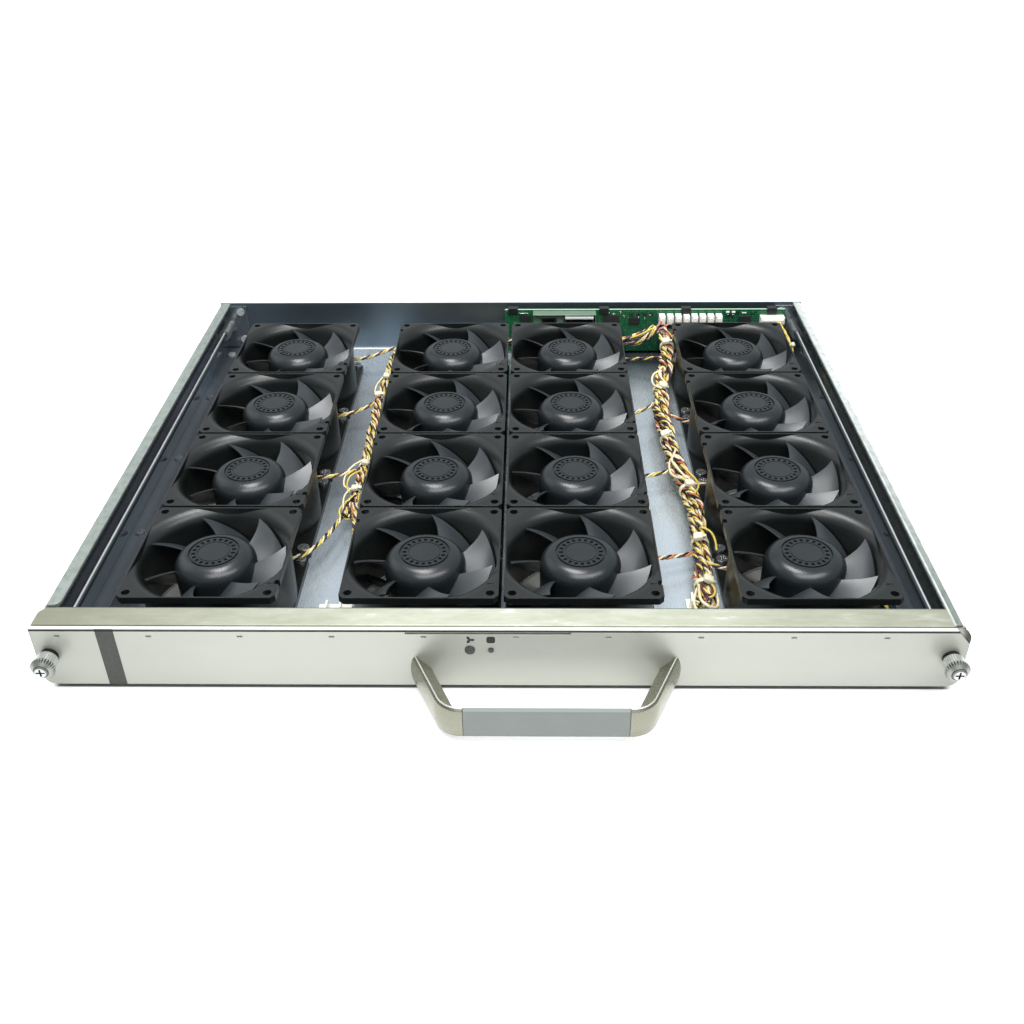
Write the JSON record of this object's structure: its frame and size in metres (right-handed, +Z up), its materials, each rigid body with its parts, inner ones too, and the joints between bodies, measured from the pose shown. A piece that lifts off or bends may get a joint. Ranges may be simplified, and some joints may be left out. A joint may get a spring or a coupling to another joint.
{
  "type": "rack fan tray",
  "caption": "Slide-in sheet-metal fan tray: a grid of axial fans, wire harness and control board behind a handled front panel with captive jackscrews.",
  "frame": {"origin": "middle of the tray width on the underside of the floor, near the middle of the depth", "axes": "+X across the tray to the right seen from the panel, -Y out of the front panel, +Z up through the fans"},
  "size_m": [0.4524, 0.439, 0.04],
  "materials": {
    "zinc_sheet": "satin zinc-plated sheet",
    "panel_metal": "satin light grey",
    "gasket_fabric": "conductive cloth over foam",
    "dark_rubber": "matt",
    "satin_nickel": "satin nickel",
    "grip_plastic": "fine texture",
    "bright_steel": "polished",
    "fan_plastic": "moulded black",
    "core_steel": "laminated",
    "board_green": "solder mask",
    "white_plastic": "moulded",
    "black_plastic": "moulded",
    "wire_jacket": "bundled insulated wire",
    "lens_plastic": "clear tinted",
    "knob_metal": "knurled"
  },
  "bodies": {
    "tray": {"tray_floor": "zinc_sheet", "left_side_wall": "zinc_sheet", "right_side_wall": "zinc_sheet", "rear_wall": "zinc_sheet", "front_channel": "zinc_sheet", "front_panel": "panel_metal", "emi_gasket": "gasket_fabric", "corner_tab": "dark_rubber", "handle_left_post": "satin_nickel", "handle_right_post": "satin_nickel", "handle_grip": "grip_plastic", "handle_screws": "bright_steel", "rod_guides": "bright_steel", "fan_frames": "fan_plastic", "fan_stators": "core_steel", "fan_bearings": "bright_steel", "fan_drive_boards": "board_green", "fan_screws": "bright_steel", "control_board": "board_green", "board_standoffs": "bright_steel", "board_screws": "bright_steel", "lead_headers": "white_plastic", "connector_cage": "bright_steel", "board_connectors": "black_plastic", "board_clips": "black_plastic", "board_components": "black_plastic", "backplane_connector": "black_plastic", "right_harness": "wire_jacket", "left_harness": "wire_jacket", "fan_leads": "wire_jacket", "cable_ties": "white_plastic", "tie_bases": "white_plastic", "indicator_lenses": "lens_plastic", "wall_rivets": "bright_steel", "indicator_lead": "wire_jacket"},
    "fan_11": {"rotor_row1_col1": "fan_plastic"},
    "fan_12": {"rotor_row1_col2": "fan_plastic"},
    "fan_13": {"rotor_row1_col3": "fan_plastic"},
    "fan_14": {"rotor_row1_col4": "fan_plastic"},
    "fan_21": {"rotor_row2_col1": "fan_plastic"},
    "fan_22": {"rotor_row2_col2": "fan_plastic"},
    "fan_23": {"rotor_row2_col3": "fan_plastic"},
    "fan_24": {"rotor_row2_col4": "fan_plastic"},
    "fan_31": {"rotor_row3_col1": "fan_plastic"},
    "fan_32": {"rotor_row3_col2": "fan_plastic"},
    "fan_33": {"rotor_row3_col3": "fan_plastic"},
    "fan_34": {"rotor_row3_col4": "fan_plastic"},
    "fan_41": {"rotor_row4_col1": "fan_plastic"},
    "fan_42": {"rotor_row4_col2": "fan_plastic"},
    "fan_43": {"rotor_row4_col3": "fan_plastic"},
    "fan_44": {"rotor_row4_col4": "fan_plastic"},
    "left_retainer": {"left_clip": "bright_steel"},
    "left_jackscrew": {"left_rod": "bright_steel", "left_knob": "knob_metal"},
    "right_retainer": {"right_clip": "bright_steel"},
    "right_jackscrew": {"right_rod": "bright_steel", "right_knob": "knob_metal"}
  },
  "joints": [
    {"name": "fan_11_spin", "type": "hinge", "parent": "tray", "child": "fan_11", "pos_m": [-0.1516, -0.1316, 0.02], "axis": [0, 0, 1], "continuous": true},
    {"name": "fan_12_spin", "type": "hinge", "parent": "tray", "child": "fan_12", "pos_m": [-0.0399, -0.1316, 0.02], "axis": [0, 0, 1], "continuous": true},
    {"name": "fan_13_spin", "type": "hinge", "parent": "tray", "child": "fan_13", "pos_m": [0.0426, -0.1316, 0.02], "axis": [0, 0, 1], "continuous": true},
    {"name": "fan_14_spin", "type": "hinge", "parent": "tray", "child": "fan_14", "pos_m": [0.1611, -0.1316, 0.02], "axis": [0, 0, 1], "continuous": true},
    {"name": "fan_21_spin", "type": "hinge", "parent": "tray", "child": "fan_21", "pos_m": [-0.1516, -0.0499, 0.02], "axis": [0, 0, 1], "continuous": true},
    {"name": "fan_22_spin", "type": "hinge", "parent": "tray", "child": "fan_22", "pos_m": [-0.0399, -0.0499, 0.02], "axis": [0, 0, 1], "continuous": true},
    {"name": "fan_23_spin", "type": "hinge", "parent": "tray", "child": "fan_23", "pos_m": [0.0426, -0.0499, 0.02], "axis": [0, 0, 1], "continuous": true},
    {"name": "fan_24_spin", "type": "hinge", "parent": "tray", "child": "fan_24", "pos_m": [0.1611, -0.0499, 0.02], "axis": [0, 0, 1], "continuous": true},
    {"name": "fan_31_spin", "type": "hinge", "parent": "tray", "child": "fan_31", "pos_m": [-0.1516, 0.0318, 0.02], "axis": [0, 0, 1], "continuous": true},
    {"name": "fan_32_spin", "type": "hinge", "parent": "tray", "child": "fan_32", "pos_m": [-0.0399, 0.0318, 0.02], "axis": [0, 0, 1], "continuous": true},
    {"name": "fan_33_spin", "type": "hinge", "parent": "tray", "child": "fan_33", "pos_m": [0.0426, 0.0318, 0.02], "axis": [0, 0, 1], "continuous": true},
    {"name": "fan_34_spin", "type": "hinge", "parent": "tray", "child": "fan_34", "pos_m": [0.1611, 0.0318, 0.02], "axis": [0, 0, 1], "continuous": true},
    {"name": "fan_41_spin", "type": "hinge", "parent": "tray", "child": "fan_41", "pos_m": [-0.1516, 0.1135, 0.02], "axis": [0, 0, 1], "continuous": true},
    {"name": "fan_42_spin", "type": "hinge", "parent": "tray", "child": "fan_42", "pos_m": [-0.0399, 0.1135, 0.02], "axis": [0, 0, 1], "continuous": true},
    {"name": "fan_43_spin", "type": "hinge", "parent": "tray", "child": "fan_43", "pos_m": [0.0426, 0.1135, 0.02], "axis": [0, 0, 1], "continuous": true},
    {"name": "fan_44_spin", "type": "hinge", "parent": "tray", "child": "fan_44", "pos_m": [0.1611, 0.1135, 0.02], "axis": [0, 0, 1], "continuous": true},
    {"name": "left_screw_pull", "type": "slide", "parent": "tray", "child": "left_retainer", "axis": [0, -1, 0], "range_m": [0, 0.006]},
    {"name": "left_screw_turn", "type": "hinge", "parent": "left_retainer", "child": "left_jackscrew", "pos_m": [-0.2192, -0.2, 0.0226], "axis": [0, 1, 0], "continuous": true},
    {"name": "right_screw_pull", "type": "slide", "parent": "tray", "child": "right_retainer", "axis": [0, -1, 0], "range_m": [0, 0.006]},
    {"name": "right_screw_turn", "type": "hinge", "parent": "right_retainer", "child": "right_jackscrew", "pos_m": [0.2192, -0.2, 0.0226], "axis": [0, 1, 0], "continuous": true}
  ]
}
